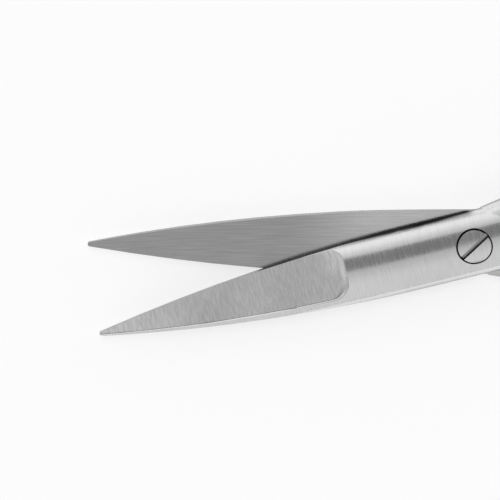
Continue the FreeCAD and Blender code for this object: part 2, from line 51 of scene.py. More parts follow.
class Tree:
    """A node tree with short calls that add a node, set its inputs and return an output."""

    def __init__(self, tree: bpy.types.NodeTree) -> None:
        """Keep the tree that the nodes go in.

        Args:
            tree: The node tree of a material, a world, a lamp or a group.
        """
        self.tree = tree

    def add(self, kind: str, **settings: object) -> bpy.types.Node:
        """Add a node of a kind and set its own properties.

        Args:
            kind: The node type's name.
            settings: Properties of the node, by name.

        Returns:
            The new node.
        """
        node = self.tree.nodes.new(kind)
        for name, value in settings.items():
            setattr(node, name, value)
        return node

    def put(self, socket: Socket, value: object) -> None:
        """Link an output into an input, or set the input to a plain value.

        Args:
            socket: The input.
            value: An output, or a number, vector or colour.
        """
        if isinstance(value, Socket):
            self.tree.links.new(value, socket)
        else:
            socket.default_value = value

    def math(self, operation: str, *values: Value) -> Socket:
        """One step of arithmetic.

        Args:
            operation: The operation's name, such as ADD.
            values: One or two operands.

        Returns:
            The result.
        """
        node = self.add("ShaderNodeMath", operation=operation)
        for socket, value in zip(node.inputs, values):
            self.put(socket, value)
        return node.outputs[0]

    def vector(self, operation: str, *values: Triple) -> Socket:
        """One step of vector arithmetic.

        Args:
            operation: The operation's name, such as ADD.
            values: One or two operands.

        Returns:
            The result, which is a number for a dot product or a length.
        """
        node = self.add("ShaderNodeVectorMath", operation=operation)
        for socket, value in zip(node.inputs, values):
            self.put(socket, value)
        single = operation in ("DOT_PRODUCT", "LENGTH")
        return node.outputs["Value" if single else "Vector"]

    def split(self, vector: Triple) -> tuple[Socket, Socket, Socket]:
        """Take a vector apart.

        Args:
            vector: The vector.

        Returns:
            Its three parts.
        """
        node = self.add("ShaderNodeSeparateXYZ")
        self.put(node.inputs[0], vector)
        return node.outputs[0], node.outputs[1], node.outputs[2]

    def join(self, x: Value, y: Value, z: Value) -> Socket:
        """Make a vector.

        Args:
            x: Its first part.
            y: Its second part.
            z: Its third part.

        Returns:
            The vector.
        """
        node = self.add("ShaderNodeCombineXYZ")
        for socket, value in zip(node.inputs, (x, y, z)):
            self.put(socket, value)
        return node.outputs[0]

    def ramp(
        self,
        value: Value,
        low: Value,
        high: Value,
        to_low: Value = 0.0,
        to_high: Value = 1.0,
    ) -> Socket:
        """Map a value smoothly from one range to another, and hold it at the ends.

        Args:
            value: What is mapped.
            low: Where the change starts.
            high: Where it ends.
            to_low: The result at the start.
            to_high: The result at the end.

        Returns:
            The mapped value.
        """
        node = self.add("ShaderNodeMapRange", interpolation_type="SMOOTHSTEP")
        for socket, number in zip(node.inputs, (value, low, high, to_low, to_high)):
            self.put(socket, number)
        return node.outputs[0]

    def mix(self, share: Value, first: Value, second: Value) -> Socket:
        """Find a number between two others.

        Args:
            share: How far from the first to the second.
            first: The result at 0.
            second: The result at 1.

        Returns:
            The number.
        """
        node = self.add("ShaderNodeMix", data_type="FLOAT")
        self.put(node.inputs[0], share)
        self.put(node.inputs[2], first)
        self.put(node.inputs[3], second)
        return node.outputs[0]

    def mix_vector(self, share: Value, first: Triple, second: Triple) -> Socket:
        """Find a vector between two others.

        Args:
            share: How far from the first to the second.
            first: The result at 0.
            second: The result at 1.

        Returns:
            The vector.
        """
        node = self.add("ShaderNodeMix", data_type="VECTOR")
        self.put(node.inputs[0], share)
        self.put(node.inputs[4], first)
        self.put(node.inputs[5], second)
        return node.outputs[1]

    def grey(self, value: Value) -> Socket:
        """Make a grey.

        Args:
            value: Its brightness.

        Returns:
            The colour.
        """
        node = self.add("ShaderNodeCombineColor")
        for socket in node.inputs[:3]:
            self.put(socket, value)
        return node.outputs[0]

    def noise(self, vector: Socket, scale: float = 1.0, detail: float = 1.0) -> Socket:
        """Smooth noise between 0 and 1.

        Args:
            vector: Where on the surface.
            scale: Spots for each unit of the vector.
            detail: How many finer layers are added.

        Returns:
            The noise value.
        """
        node = self.add("ShaderNodeTexNoise")
        self.put(node.inputs["Vector"], vector)
        node.inputs["Scale"].default_value = scale
        node.inputs["Detail"].default_value = detail
        return node.outputs[0]

    def place(self, point: Socket, turn: Numbers, move: Numbers, scale: float) -> Socket:
        """Scale, turn and move a point.

        Args:
            point: The point.
            turn: Radians about the three axes.
            move: How far it goes after the turn.
            scale: What it is multiplied by before the turn.

        Returns:
            The new point.
        """
        node = self.add("ShaderNodeMapping", vector_type="POINT")
        self.put(node.inputs["Vector"], point)
        node.inputs["Location"].default_value = move
        node.inputs["Rotation"].default_value = turn
        node.inputs["Scale"].default_value = (scale, scale, scale)
        return node.outputs[0]

    def turn(self, direction: Socket, turn: Numbers) -> Socket:
        """Turn a direction.

        Args:
            direction: The direction.
            turn: Radians about the three axes.

        Returns:
            The new direction.
        """
        node = self.add("ShaderNodeMapping", vector_type="VECTOR")
        self.put(node.inputs["Vector"], direction)
        node.inputs["Rotation"].default_value = turn
        return node.outputs[0]

    def to_world(self, direction: Triple, kind: str) -> Socket:
        """Turn a direction of the object into one of the world.

        Args:
            direction: The direction.
            kind: VECTOR or NORMAL.

        Returns:
            The new direction.
        """
        node = self.add(
            "ShaderNodeVectorTransform",
            vector_type=kind,
            convert_from="OBJECT",
            convert_to="WORLD",
        )
        self.put(node.inputs[0], direction)
        return node.outputs[0]

    def group(self, tree: bpy.types.NodeTree, **values: object) -> bpy.types.Node:
        """Place a node group and set its inputs.

        Args:
            tree: The group's tree.
            values: What goes into its inputs, by name.

        Returns:
            The group's node.
        """
        node = self.add("ShaderNodeGroup", node_tree=tree)
        for name, value in values.items():
            self.put(node.inputs[name], value)
        return node


@dataclass(frozen=True)
class GroupPlan:
    """The name and the sockets of a node group."""

    name: str
    inputs: dict[str, str]
    outputs: dict[str, str]

    def start(self) -> tuple[Tree, dict[str, Socket], dict[str, Socket]]:
        """Make the empty group.

        Returns:
            The tree, what comes in and where the results go, by name.
        """
        tree = bpy.data.node_groups.new(self.name, "ShaderNodeTree")
        for name, kind in self.inputs.items():
            tree.interface.new_socket(name, in_out="INPUT", socket_type=f"NodeSocket{kind}")
        for name, kind in self.outputs.items():
            tree.interface.new_socket(name, in_out="OUTPUT", socket_type=f"NodeSocket{kind}")
        build = Tree(tree)
        entry = build.add("NodeGroupInput")
        leave = build.add("NodeGroupOutput")
        came = {name: entry.outputs[name] for name in self.inputs}
        goes = {name: leave.inputs[name] for name in self.outputs}
        return build, came, goes


@dataclass(frozen=True)
class GrindingLines:
    """Straight lines that a grinding belt leaves: relief, and streaks of lighter metal.

    A scale is the number of noise spots for each line.
    """

    sway_mm: float = 0.25
    sway_scale: float = 0.25
    fine_scale: float = 2.2
    wide_scale: float = 0.9
    deep_scale: float = 0.5
    deep_range: Span = (0.64, 0.76)
    deep_share: float = 0.3
    streak_scale: float = 1.6
    streak_detail: float = 3.0
    streak_range: Span = (0.25, 0.75)

    def build(self) -> bpy.types.NodeTree:
        """Make the node group.

        Returns:
            The group, with a Vector in millimetres and Density, the lines for each
            millimetre along each axis, going in, and Height and Streak coming out.
        """
        plan = GroupPlan(
            "grinding_lines",
            {"Vector": "Vector", "Density": "Vector"},
            {"Height": "Float", "Streak": "Float"},
        )
        tree, came, goes = plan.start()
        sway = tree.noise(came["Vector"], scale=self.sway_scale, detail=0.0)
        sway = tree.math("MULTIPLY", sway, self.sway_mm)
        bent = tree.vector("ADD", came["Vector"], tree.join(sway, sway, 0.0))
        lines = tree.vector("MULTIPLY", bent, came["Density"])
        fine = tree.noise(lines, scale=self.fine_scale)
        wide = tree.noise(lines, scale=self.wide_scale)
        deep = tree.ramp(tree.noise(lines, scale=self.deep_scale), *self.deep_range)
        cut = tree.math("MULTIPLY", deep, self.deep_share)
        streak = tree.noise(lines, scale=self.streak_scale, detail=self.streak_detail)
        tree.put(goes["Height"], tree.math("SUBTRACT", tree.mix(0.5, fine, wide), cut))
        tree.put(goes["Streak"], tree.ramp(streak, *self.streak_range))
        return tree.tree


@dataclass(frozen=True)
class Scratches:
    """One set of stray scratches that all run the same way."""

    turn: float
    density: float


@dataclass(frozen=True)
class HandlingMarks:
    """Faint clouding and a few stray scratches, as steel gets when it is wiped and handled."""

    cloud_scale: float = 0.22
    cloud_detail: float = 4.0
    cloud_range: Span = (0.3, 0.7)
    scratches: tuple[Scratches, ...] = (Scratches(0.5, 1.1), Scratches(-0.9, 0.8))
    scratch_lengthways: float = 0.12
    scratch_across: float = 5.0
    scratch_upwards: float = 0.5
    scratch_range: Span = (0.76, 0.82)

    def build(self) -> bpy.types.NodeTree:
        """Make the node group.

        Returns:
            The group, with a Vector in millimetres going in, and Cloud and Scratch coming out.
        """
        plan = GroupPlan(
            "handling_marks",
            {"Vector": "Vector"},
            {"Cloud": "Float", "Scratch": "Float"},
        )
        tree, came, goes = plan.start()
        cloud = tree.noise(came["Vector"], scale=self.cloud_scale, detail=self.cloud_detail)
        stray = [self.scratch(tree, came["Vector"], some) for some in self.scratches]
        tree.put(goes["Cloud"], tree.ramp(cloud, *self.cloud_range))
        tree.put(goes["Scratch"], tree.math("MAXIMUM", *stray))
        return tree.tree

    def scratch(self, tree: Tree, vector: Socket, some: Scratches) -> Socket:
        """Where the scratches of one set lie.

        Args:
            tree: The group's tree.
            vector: Where on the surface, in millimetres.
            some: The set.

        Returns:
            The mask.
        """
        lengthways = self.scratch_lengthways * some.density
        across = self.scratch_across * some.density
        turned = tree.turn(vector, (0, 0, some.turn))
        spots = tree.vector("MULTIPLY", turned, (lengthways, across, self.scratch_upwards))
        return tree.ramp(tree.noise(spots), *self.scratch_range)


@dataclass(frozen=True)
class SharedEffects:
    """The node groups that both steels use."""

    lines: bpy.types.NodeTree
    marks: bpy.types.NodeTree

    @classmethod
    def build(cls) -> SharedEffects:
        """Build each group once."""
        return cls(GrindingLines().build(), HandlingMarks().build())


class Side(Enum):
    """Which way up a half lies: they are the same piece, one turned over."""

    UPPER = "upper"
    LOWER = "lower"


@dataclass(frozen=True)
class OwnFrame:
    """A half's own axes: along the blade, across it, and up from its inner face.

    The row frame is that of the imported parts, in which each half is turned by half of the
    opening from the first axis, and the inner faces meet at the parting height.
    """

    side: Side
    turn_deg: float = REST_OPENING_DEG / 2
    parting_mm: float = PARTING_MM

    @property
    def euler(self) -> Numbers:
        """The turn from the row frame into the half's own."""
        over = math.pi if self.side is Side.LOWER else 0.0
        return over, 0.0, -math.radians(self.turn_deg)

    @property
    def back(self) -> Numbers:
        """The turn from the half's own frame back into the row frame."""
        over, _, turn = self.euler
        return over, 0.0, turn if self.side is Side.LOWER else -turn

    @property
    def shift(self) -> Numbers:
        """The move after the turn into the own frame, which brings the inner face to 0."""
        up = 1.0 if self.side is Side.LOWER else -1.0
        return 0.0, 0.0, up * self.parting_mm

    def coordinates(self, tree: Tree) -> tuple[Socket, Socket]:
        """Find where a point of the surface is in the half's own frame.

        Args:
            tree: The material's tree.

        Returns:
            The point in millimetres, and the surface's direction.
        """
        seen = tree.add("ShaderNodeTexCoord")
        own = tree.place(seen.outputs["Object"], self.euler, self.shift, 1 / MM)
        return own, tree.turn(seen.outputs["Normal"], self.euler)

    def row(self, own: Numbers) -> Vector:
        """Turn a direction of the half's own frame into the row frame.

        Args:
            own: The direction in the half's own frame.

        Returns:
            The direction in the row frame.
        """
        turned = Matrix.Rotation(math.radians(self.turn_deg), 3, "Z") @ Vector(own)
        if self.side is Side.LOWER:
            turned = Matrix.Rotation(math.pi, 3, "X") @ turned
        return turned


@dataclass(frozen=True)
class Crown:
    """The half-round back as an oval that falls towards the tip, for even shading over it.

    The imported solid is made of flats, so its own shading wavers a degree or two. On the
    crown, the oval's true direction takes its place.
    """

    frame: OwnFrame
    half_width_mm: float = 3.2
    half_height_mm: float = 2.0
    centre_mm: float = 0.13
    fall_start_mm: float = 8.9
    fall_bend_mm: float = 60.0
    fall_deg: float = 3.69
    reach_fade: Span = (0.025, 0.012)
    facing_fade: Span = (0.99, 0.995)

    def fall(self, tree: Tree, x: Socket) -> tuple[Socket, Socket]:
        """Find how the oval falls at a place: along a bend first, and then straight.

        Args:
            tree: The material's tree.
            x: Millimetres along the half.

        Returns:
            The slope there, and the lift that brings the oval's centre to height 0.
        """
        full = math.radians(self.fall_deg)
        past = tree.math("MAXIMUM", tree.math("SUBTRACT", -self.fall_start_mm, x), 0.0)
        bend = tree.math("MINIMUM", past, self.fall_bend_mm * full)
        slope = tree.math("DIVIDE", bend, self.fall_bend_mm)
        curved = tree.math("MULTIPLY", tree.math("MULTIPLY", bend, slope), 0.5)
        straight = tree.math("MULTIPLY", tree.math("SUBTRACT", past, bend), math.tan(full))
        fallen = tree.math("ADD", curved, straight)
        return slope, tree.math("ADD", fallen, -self.centre_mm)

    def normal(self, tree: Tree, own: Socket, normal: Socket) -> Socket:
        """Find the surface's direction in the world, evened out on the crown.

        Args:
            tree: The material's tree.
            own: The half's own coordinates in millimetres.
            normal: The surface's direction in the half's own frame.

        Returns:
            The direction for a bump's Normal.
        """
        x, y, z = tree.split(own)
        slope, lift = self.fall(tree, x)
        across = tree.math("DIVIDE", y, self.half_width_mm)
        up = tree.math("DIVIDE", tree.math("ADD", z, lift), self.half_height_mm)
        reach = tree.vector("LENGTH", tree.join(across, up, 0.0))
        off = tree.math("ABSOLUTE", tree.math("SUBTRACT", reach, 1.0))
        side = tree.math("DIVIDE", across, self.half_width_mm)
        rise = tree.math("DIVIDE", up, self.half_height_mm)
        lean = tree.math("MULTIPLY", tree.math("MULTIPLY", slope, rise), -1.0)
        oval = tree.vector("NORMALIZE", tree.join(lean, side, rise))
        alike = tree.ramp(tree.vector("DOT_PRODUCT", oval, normal), *self.facing_fade)
        crown = tree.math("MULTIPLY", tree.ramp(off, *self.reach_fade), alike)
        even = tree.mix_vector(crown, normal, oval)
        return tree.to_world(tree.turn(even, self.frame.back), "NORMAL")


def start_steel(name: str) -> tuple[bpy.types.Material, Tree, bpy.types.Node]:
    """Start a steel.

    Args:
        name: The material's name.

    Returns:
        The material, its tree and its shader.
    """
    material = bpy.data.materials.new(name)
    material.use_nodes = True
    shader = material.node_tree.nodes["Principled BSDF"]
    shader.inputs["Metallic"].default_value = 1.0
    return material, Tree(material.node_tree), shader


def put_relief(
    tree: Tree, shader: bpy.types.Node, height: Socket, depth_mm: float, normal: Socket
) -> None:
    """Give a steel the relief of its lines.

    Args:
        tree: The material's tree.
        shader: The material's shader.
        height: The relief, between 0 and 1.
        depth_mm: How deep it is.
        normal: The surface's direction in the world.
    """
    bump = tree.add("ShaderNodeBump")
    bump.inputs["Strength"].default_value = 1.0
    bump.inputs["Distance"].default_value = depth_mm * MM
    tree.put(bump.inputs["Height"], height)
    tree.put(bump.inputs["Normal"], normal)
    tree.put(shader.inputs["Normal"], bump.outputs["Normal"])


@dataclass(frozen=True)
class Surface:
    """What the steel of a half works with at each point: its place, masks and marks."""

    own: Socket
    normal: Socket
    inner: Socket
    flat: Socket
    cove: Socket
    streak: Socket
    cloud: Socket


@dataclass(frozen=True)
class GroundSteel:
    """Stainless steel of a half: ground across outside, ground lengthways inside.

    The flat is the plane ground into the blade's back, the cove its hollow heel, and the
    wall the blade's side behind the cutting edge. In a pair of facings, parts of the
    surface's direction, a mask goes from 0 at the first to 1 at the second.
    """

    name: str
    frame: OwnFrame
    bore_radius_mm: float
    tone: float = 0.77
    flat_tone: float = 0.78
    # Painted light: the flat is toned lighter towards the tip.
    flat_tip_tone: float = 0.93
    flat_fade_mm: Span = (-37.0, -27.0)
    flat_place_mm: Numbers = (-12.4, 0.0, 1.209)
    flat_lean_deg: float = 5.0
    flat_fall_deg: float = 2.02
    flat_facing: Span = (0.97, 0.985)
    flat_reach_mm: Span = (0.03, 0.01)
    # Painted highlight in the heel's corner of the flat.
    heel_light: float = 1.22
    heel_fade_mm: Span = (-15.2, -13.4)
    heel_across_mm: Span = (-0.3, 1.3)
    inner_tone: float = 0.75
    # Painted shade: the inner face is toned darker towards the tip.
    inner_tip_tone: float = 0.485
    inner_fade_mm: Span = (-18.5, -8.0)
    inner_facing: Span = (-0.985, -0.997)
    cove_tone: float = 0.75
    cove_ends_mm: Span = (-16.5, -9.5)
    cove_ends_fade_mm: float = 1.0
    cove_facing: Span = (-0.1, -0.25)
    # Painted shade on the blade's side behind the cutting edge, darkest at its foot where the
    # blades meet, and on the joint's side past it.
    wall_tone: float = 0.4
    wall_foot_shade_tone: float = 0.035
    wall_foot_far_tone: float = 0.55
    wall_foot_fade_mm: Span = (-15.0, -9.0)
    wall_foot_mm: Span = (0.7, 1.15)
    wall_ends_mm: Span = (-22.0, 1.0)
    wall_ends_fade_mm: Span = (3.0, 1.0)
    wall_taper_mm: Span = (5.0, 0.3)
    wall_facing: Span = (0.68, 0.88)
    joint_side_tone: float = 0.55
    joint_side_facing: Span = (0.93, 0.98)
    # Painted shade in the gap round the screw, shifted a little to one side.
    gap_shade_tone: float = 0.05
    gap_reach_mm: Span = (0.05, 0.03)
    gap_shift_mm: Numbers = (0.015, -0.025, 0.0)
    roughness: float = 0.23
    inner_roughness: float = 0.18
    cove_roughness: float = 0.42
    cloud_tones: Span = (0.98, 1.02)
    cloud_roughness: float = 0.03
    edge_gloss: float = 0.5
    stretch: float = 0.8
    line_contrast: float = 0.1
    flat_line_contrast: float = 0.24
    inner_line_contrast: float = 0.24
    rough_contrast: float = 0.55
    flat_rough_contrast: float = 0.1
    bump_mm: float = 0.004
    across_density: Numbers = (5.0, 0.4, 0.4)
    flat_density: Numbers = (4.4, 0.6, 0.6)
    along_density: Numbers = (0.15, 5.0, 0.2)
    ring_centre_mm: Numbers = (64.1, 11.9, 0.0)
    ring_reach_mm: Span = (11.5, 14.5)

    def build(self, shared: SharedEffects) -> bpy.types.Material:
        """Make the material.

        Args:
            shared: The node groups for lines and marks.

        Returns:
            The material.
        """
        material, tree, shader = start_steel(self.name)
        own, normal = self.frame.coordinates(tree)
        inner = tree.ramp(tree.split(normal)[2], *self.inner_facing)
        flat = self.on_flat(tree, own, normal)
        cove = self.in_cove(tree, own, normal)
        streak, height = self.lines(tree, shared, own, inner, flat)
        marks = tree.group(shared.marks, Vector=own)
        at = Surface(own, normal, inner, flat, cove, streak, marks.outputs["Cloud"])
        tree.put(shader.inputs["Base Color"], tree.grey(self.tones(tree, at)))
        tree.put(shader.inputs["Roughness"], self.roughnesses(tree, at))
        shader.inputs["Specular Tint"].default_value = (*[self.edge_gloss] * 3, 1)
        shader.inputs["Anisotropic"].default_value = self.stretch
        self.aim_stretch(tree, shader, inner)
        height = tree.math("SUBTRACT", height, marks.outputs["Scratch"])
        crown = Crown(self.frame).normal(tree, own, normal)
        put_relief(tree, shader, height, self.bump_mm, crown)
        return material

    def on_flat(self, tree: Tree, own: Socket, normal: Socket) -> Socket:
        """Mask the ground flat.

        Args:
            tree: The material's tree.
            own: The half's own coordinates in millimetres.
            normal: The surface's direction in the half's own frame.

        Returns:
            The mask, 1 where the surface lies in the flat's plane.
        """
        lean = Matrix.Rotation(-math.radians(self.flat_lean_deg), 3, "X")
        fall = Matrix.Rotation(-math.radians(self.flat_fall_deg), 3, "Y")
        upright = fall @ lean @ Vector((0, 0, 1))
        from_plane = tree.vector("SUBTRACT", own, self.flat_place_mm)
        height = tree.math("ABSOLUTE", tree.vector("DOT_PRODUCT", from_plane, upright))
        facing = tree.ramp(tree.vector("DOT_PRODUCT", normal, upright), *self.flat_facing)
        return tree.math("MULTIPLY", facing, tree.ramp(height, *self.flat_reach_mm))

    def in_cove(self, tree: Tree, own: Socket, normal: Socket) -> Socket:
        """Mask the flat's hollow heel where it faces the tip of the blade.

        Args:
            tree: The material's tree.
            own: The half's own coordinates in millimetres.
            normal: The surface's direction in the half's own frame.

        Returns:
            The mask.
        """
        x = tree.split(own)[0]
        first, last = self.cove_ends_mm
        starts = tree.ramp(x, first, first + self.cove_ends_fade_mm)
        ends = tree.ramp(x, last, last - self.cove_ends_fade_mm)
        facing = tree.ramp(tree.split(normal)[0], *self.cove_facing)
        return tree.math("MULTIPLY", tree.math("MULTIPLY", starts, ends), facing)

    def lines(
        self, tree: Tree, shared: SharedEffects, own: Socket, inner: Socket, flat: Socket
    ) -> tuple[Socket, Socket]:
        """Lay the ground lines over the half.

        Args:
            tree: The material's tree.
            shared: The node groups for lines and marks.
            own: The half's own coordinates in millimetres.
            inner: The mask of the inner face.
            flat: The mask of the ground flat.

        Returns:
            The lines' streaks, and their relief.
        """
        density = tree.mix_vector(flat, self.across_density, self.flat_density)
        across = tree.group(shared.lines, Vector=self.ring_route(tree, own), Density=density)
        along = tree.group(shared.lines, Vector=own, Density=self.along_density)
        streak = tree.mix(inner, across.outputs["Streak"], along.outputs["Streak"])
        height = tree.mix(inner, across.outputs["Height"], along.outputs["Height"])
        return streak, height

    def ring_route(self, tree: Tree, own: Socket) -> Socket:
        """Bend the coordinates round the finger ring, so that its lines go round its bar.

        Args:
            tree: The material's tree.
            own: The half's own coordinates in millimetres.

        Returns:
            The bent coordinates.
        """
        x, y, z = tree.split(tree.vector("SUBTRACT", own, self.ring_centre_mm))
        reach = tree.vector("LENGTH", tree.join(x, y, 0.0))
        near, far = self.ring_reach_mm
        way_round = tree.math("MULTIPLY", tree.math("ARCTAN2", y, x), near)
        return tree.mix_vector(tree.ramp(reach, far, near), own, tree.join(way_round, reach, z))

    def tones(self, tree: Tree, at: Surface) -> Socket:
        """Work out the brightness of the metal.

        Args:
            tree: The material's tree.
            at: The surface.

        Returns:
            The brightness.
        """
        # Painted light on the flat.
        tone = tree.mix(at.flat, self.tone, self.flat_shade(tree, at.own))
        # Painted shade on the inner face towards the tip.
        tone = tree.mix(at.inner, tone, self.inner_shade(tree, at.own))
        tone = tree.mix(at.cove, tone, self.cove_tone)
        # Painted shade on the blade's side behind the cutting edge.
        tone = self.shade_wall(tree, at, tone)
        contrast = tree.mix(at.flat, self.line_contrast, self.flat_line_contrast)
        contrast = tree.mix(at.inner, contrast, self.inner_line_contrast)
        tone = self.streaked(tree, tone, at.streak, contrast)
        tone = tree.math("MULTIPLY", tone, tree.mix(at.cloud, *self.cloud_tones))
        # Painted shade in the gap round the screw.
        return tree.mix(self.in_gap(tree, at.own), tone, self.gap_shade_tone)

    def flat_shade(self, tree: Tree, own: Socket) -> Socket:
        """Work out the tone of the flat, with painted light: lighter towards the tip, and a
        painted highlight in the heel's corner.

        Args:
            tree: The material's tree.
            own: The half's own coordinates in millimetres.

        Returns:
            The tone.
        """
        x, y, _ = tree.split(own)
        tone = tree.ramp(x, *self.flat_fade_mm, self.flat_tip_tone, self.flat_tone)
        back = tree.ramp(x, *self.heel_fade_mm)
        corner = tree.math("MULTIPLY", back, tree.ramp(y, *self.heel_across_mm))
        return tree.math("MULTIPLY", tone, tree.mix(corner, 1.0, self.heel_light))

    def inner_shade(self, tree: Tree, own: Socket) -> Socket:
        """Tone of the inner face, with painted shade that darkens it towards the tip of the
        blade.
        """
        x = tree.split(own)[0]
        return tree.ramp(x, *self.inner_fade_mm, self.inner_tip_tone, self.inner_tone)

    def shade_wall(self, tree: Tree, at: Surface, tone: Socket) -> Socket:
        """Paint shade on the blade's side behind its cutting edge, most of all at its foot, and
        on the joint's side past its end.

        Args:
            tree: The material's tree.
            at: The surface.
            tone: The tone so far.

        Returns:
            The tone with the painted shade.
        """
        x, _, z = tree.split(at.own)
        facing = tree.split(at.normal)[1]
        first, last = self.wall_ends_mm
        start_fade, end_fade = self.wall_ends_fade_mm
        starts = tree.ramp(x, first, first + start_fade)
        ends = tree.math("MULTIPLY", starts, tree.ramp(x, last, last - end_fade))
        wall = tree.math("MULTIPLY", tree.ramp(facing, *self.wall_facing), ends)
        length, rise = self.wall_taper_mm
        height = tree.math("ADD", z, tree.ramp(x, last - length, last, 0.0, rise))
        # Painted shade, darkest at the wall's foot by the joint and lighter towards the tip.
        foot = tree.ramp(x, *self.wall_foot_fade_mm, self.wall_foot_far_tone, self.wall_foot_shade_tone)
        shade = tree.ramp(height, *self.wall_foot_mm, foot, self.wall_tone)
        # Painted shade on the joint's side, past the wall's end.
        side = tree.ramp(facing, *self.joint_side_facing)
        joint = tree.math("MULTIPLY", side, tree.ramp(x, last - end_fade, last))
        return tree.mix(wall, tree.mix(joint, tone, self.joint_side_tone), shade)

    def in_gap(self, tree: Tree, own: Socket) -> Socket:
        """Mask the painted shade in the gap round the screw, shifted a little to one side, as its
        shade falls.

        Args:
            tree: The material's tree.
            own: The half's own coordinates in millimetres.

        Returns:
            The mask, 1 inside the bore.
        """
        x, y, _ = tree.split(tree.vector("ADD", own, self.gap_shift_mm))
        reach = tree.vector("LENGTH", tree.join(x, y, 0.0))
        outside, inside = self.gap_reach_mm
        return tree.ramp(reach, self.bore_radius_mm + outside, self.bore_radius_mm + inside)

    def roughnesses(self, tree: Tree, at: Surface) -> Socket:
        """Work out how rough the metal is.

        Args:
            tree: The material's tree.
            at: The surface.

        Returns:
            The roughness.
        """
        rough = tree.mix(at.inner, self.roughness, self.inner_roughness)
        rough = tree.mix(at.cove, rough, self.cove_roughness)
        contrast = tree.mix(at.flat, self.rough_contrast, self.flat_rough_contrast)
        rough = self.streaked(tree, rough, at.streak, contrast)
        return tree.math("ADD", rough, tree.math("MULTIPLY", at.cloud, self.cloud_roughness))

    @staticmethod
    def streaked(tree: Tree, value: Socket, streak: Socket, contrast: Value) -> Socket:
        """A value that the streaks raise and lower by a share of itself."""
        swing = tree.math("MULTIPLY", tree.math("SUBTRACT", streak, 0.5), contrast)
        return tree.math("MULTIPLY", value, tree.math("ADD", swing, 1.0))

    def aim_stretch(self, tree: Tree, shader: bpy.types.Node, inner: Socket) -> None:
        """Spread the gloss at right angles to the lines.

        Args:
            tree: The material's tree.
            shader: The material's shader.
            inner: The mask of the inner face.
        """
        along = tuple(self.frame.row((1, 0, 0)))
        across = tuple(self.frame.row((0, 1, 0)))
        aim = tree.mix_vector(inner, along, across)
        tree.put(shader.inputs["Tangent"], tree.to_world(aim, "VECTOR"))


@dataclass(frozen=True)
class ScrewSteel:
    """Stainless steel of the screw, ground flush with the half that its head lies in.

    In a pair, a mask goes from 0 at the first to 1 at the second. The pairs of the slot's
    two walls are shares of its half width, from the lit wall at -1 to the dark one at 1.
    """

    name: str
    frame: OwnFrame
    head_radius_mm: float
    tone: float = 0.79
    # Painted shade on the head's rim, in the gap round it.
    side_tone: float = 0.06
    side_facing: Span = (0.5, 0.2)
    side_reach_mm: Span = (-0.12, -0.05)
    # Painted shade in the slot: its floor a little darker, its walls dark, and more along one
    # wall.
    slot_tone: float = 0.7
    slot_wall_shade_tone: float = 0.1
    slot_wall_facing: Span = (0.6, 0.3)
    slot_deg: float = 37.0
    slot_half_mm: float = 0.215
    slot_floor_mm: Span = (1.95, 1.8)
    lit_wall: Span = (-0.6, -1.0)
    lit_wall_shade: float = 0.45
    dark_wall: Span = (0.3, 0.9)
    streak_tones: Span = (0.94, 1.05)
    roughness: float = 0.24
    slot_roughness: float = 0.45
    streak_roughnesses: Span = (0.9, 1.12)
    cloud_roughness: float = 0.03
    density: Numbers = (5.5, 0.12, 0.12)
    bump_mm: float = 0.004

    def build(self, shared: SharedEffects) -> bpy.types.Material:
        """Make the material.

        Args:
            shared: The node groups for lines and marks.

        Returns:
            The material.
        """
        material, tree, shader = start_steel(self.name)
        own, normal = self.frame.coordinates(tree)
        lines = tree.group(shared.lines, Vector=own, Density=self.density)
        marks = tree.group(shared.marks, Vector=own)
        streak = lines.outputs["Streak"]
        in_slot = tree.ramp(tree.split(own)[2], *self.slot_floor_mm)
        tone = self.tones(tree, own, normal, in_slot)
        tone = tree.math("MULTIPLY", tone, tree.mix(streak, *self.streak_tones))
        rough = tree.mix(in_slot, self.roughness, self.slot_roughness)
        rough = tree.math("MULTIPLY", rough, tree.mix(streak, *self.streak_roughnesses))
        cloud = tree.math("MULTIPLY", marks.outputs["Cloud"], self.cloud_roughness)
        tree.put(shader.inputs["Base Color"], tree.grey(tone))
        tree.put(shader.inputs["Roughness"], tree.math("ADD", rough, cloud))
        crown = Crown(self.frame).normal(tree, own, normal)
        put_relief(tree, shader, lines.outputs["Height"], self.bump_mm, crown)
        return material

    def tones(self, tree: Tree, own: Socket, normal: Socket, in_slot: Socket) -> Socket:
        """Work out the brightness of the metal, with painted shade on the head's rim and in the
        slot.

        Args:
            tree: The material's tree.
            own: The half's own coordinates in millimetres.
            normal: The surface's direction in the half's own frame.
            in_slot: The mask of what lies as deep as the slot.

        Returns:
            The brightness.
        """
        facing_up = tree.split(normal)[2]
        x, y, _ = tree.split(own)
        reach = tree.vector("LENGTH", tree.join(x, y, 0.0))
        # Painted shade on the head's rim, in the gap round it.
        near, far = (self.head_radius_mm + inwards for inwards in self.side_reach_mm)
        outer = tree.ramp(reach, near, far)
        side = tree.math("MULTIPLY", tree.ramp(facing_up, *self.side_facing), outer)
        # Painted shade on the slot's walls and floor.
        wall = tree.ramp(facing_up, *self.slot_wall_facing)
        slot = tree.mix(self.slot_shade(tree, own), self.slot_tone, self.slot_wall_shade_tone)
        tone = tree.mix(in_slot, self.tone, slot)
        tone = tree.mix(wall, tone, self.slot_wall_shade_tone)
        return tree.mix(side, tone, self.side_tone)

    def slot_shade(self, tree: Tree, own: Socket) -> Socket:
        """Paint shade in the slot: a little at its lit wall, and fully along the wall across from
        it.

        Args:
            tree: The material's tree.
            own: The half's own coordinates in millimetres.

        Returns:
            The shade, between 0 and 1.
        """
        turn = math.radians(self.slot_deg - self.frame.turn_deg)
        across = tree.vector("DOT_PRODUCT", own, (math.sin(turn), -math.cos(turn), 0.0))
        share = tree.math("DIVIDE", across, self.slot_half_mm)
        lit = tree.ramp(share, *self.lit_wall, 0.0, self.lit_wall_shade)
        return tree.math("ADD", lit, tree.ramp(share, *self.dark_wall))


